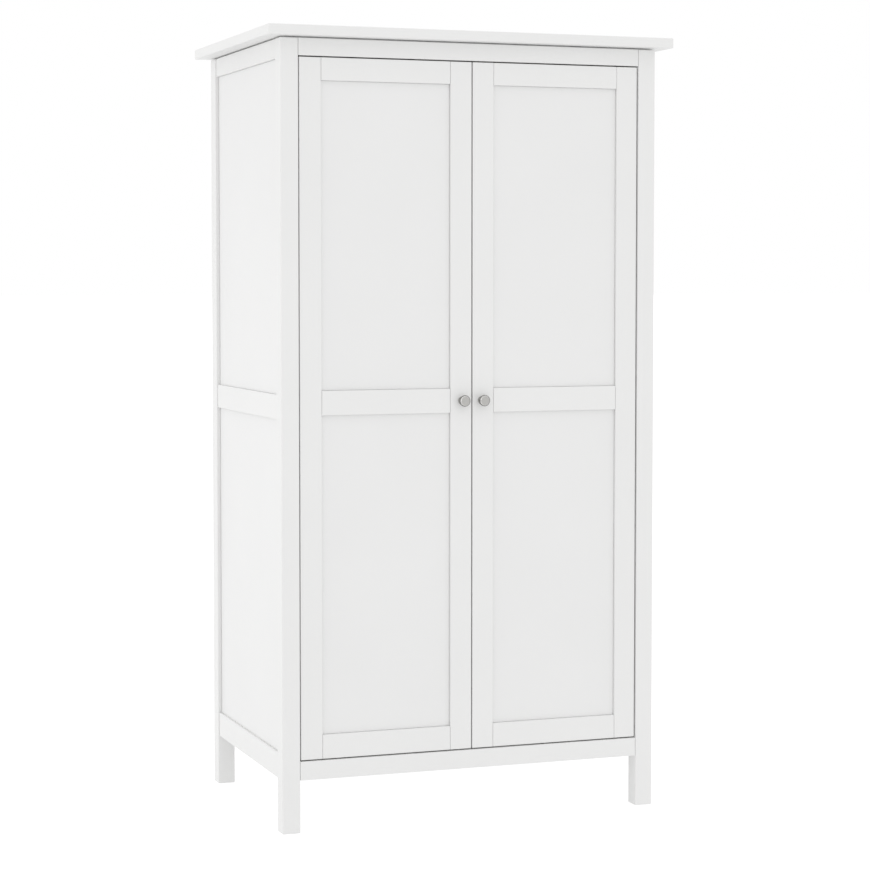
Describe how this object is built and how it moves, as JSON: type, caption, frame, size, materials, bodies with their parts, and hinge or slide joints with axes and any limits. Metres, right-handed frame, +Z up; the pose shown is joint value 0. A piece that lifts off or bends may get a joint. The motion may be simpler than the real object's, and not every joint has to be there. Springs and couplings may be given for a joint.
{
  "type": "two-door wardrobe",
  "caption": "White frame-and-panel wardrobe on four square posts, with inset panelled doors, round knobs, a hat shelf and a hanging rail.",
  "frame": {"origin": "centre of the footprint at floor level, under the middle of the top board", "axes": "+Z up, the doors face -Y, +X is the right-hand side for a person facing the doors"},
  "size_m": [1.056, 0.715, 1.95],
  "materials": {
    "white_paint": "satin white paint on solid wood",
    "white_panel": "satin white paint on flat board",
    "white_board": "matt white lacquer on board",
    "brushed_nickel": "turned and brushed nickel",
    "nickel_plate": "bright nickel plate on pressed steel",
    "polished_steel": "polished"
  },
  "bodies": {
    "carcass": {"back_bottom_rail": "white_paint", "back_lower_panel": "white_board", "back_middle_rail": "white_paint", "back_top_rail": "white_paint", "back_upper_panel": "white_board", "floor_board": "white_board", "front_bottom_rail": "white_paint", "front_top_rail": "white_paint", "hanging_rail": "polished_steel", "hat_shelf": "white_board", "left_back_post": "white_paint", "left_front_post": "white_paint", "left_hinge_arm_bottom": "nickel_plate", "left_hinge_arm_middle": "nickel_plate", "left_hinge_arm_top": "nickel_plate", "left_hinge_cleat": "white_paint", "left_rail_bracket": "nickel_plate", "left_shelf_cleat": "white_paint", "left_side_bottom_rail": "white_paint", "left_side_lower_panel": "white_panel", "left_side_middle_rail": "white_paint", "left_side_top_rail": "white_paint", "left_side_upper_panel": "white_panel", "right_back_post": "white_paint", "right_front_post": "white_paint", "right_hinge_arm_bottom": "nickel_plate", "right_hinge_arm_middle": "nickel_plate", "right_hinge_arm_top": "nickel_plate", "right_hinge_cleat": "white_paint", "right_rail_bracket": "nickel_plate", "right_shelf_cleat": "white_paint", "right_side_bottom_rail": "white_paint", "right_side_lower_panel": "white_panel", "right_side_middle_rail": "white_paint", "right_side_top_rail": "white_paint", "right_side_upper_panel": "white_panel", "top_board": "white_paint"},
    "left_door": {"left_door_bottom_rail": "white_paint", "left_door_hinge_stile": "white_paint", "left_door_lower_panel": "white_panel", "left_door_meeting_stile": "white_paint", "left_door_middle_rail": "white_paint", "left_door_top_rail": "white_paint", "left_door_upper_panel": "white_panel", "left_hinge_cup_bottom": "nickel_plate", "left_hinge_cup_middle": "nickel_plate", "left_hinge_cup_top": "nickel_plate", "left_knob": "brushed_nickel"},
    "right_door": {"right_door_bottom_rail": "white_paint", "right_door_hinge_stile": "white_paint", "right_door_lower_panel": "white_panel", "right_door_meeting_stile": "white_paint", "right_door_middle_rail": "white_paint", "right_door_top_rail": "white_paint", "right_door_upper_panel": "white_panel", "right_hinge_cup_bottom": "nickel_plate", "right_hinge_cup_middle": "nickel_plate", "right_hinge_cup_top": "nickel_plate", "right_knob": "brushed_nickel"}
  },
  "joints": [
    {"name": "left_door_hinge", "type": "hinge", "parent": "carcass", "child": "left_door", "pos_m": [-0.433, -0.3165, 1.0275], "axis": [0, 0, -1], "range_deg": [0, 100]},
    {"name": "right_door_hinge", "type": "hinge", "parent": "carcass", "child": "right_door", "pos_m": [0.433, -0.3165, 1.0275], "axis": [0, 0, 1], "range_deg": [0, 100]}
  ]
}
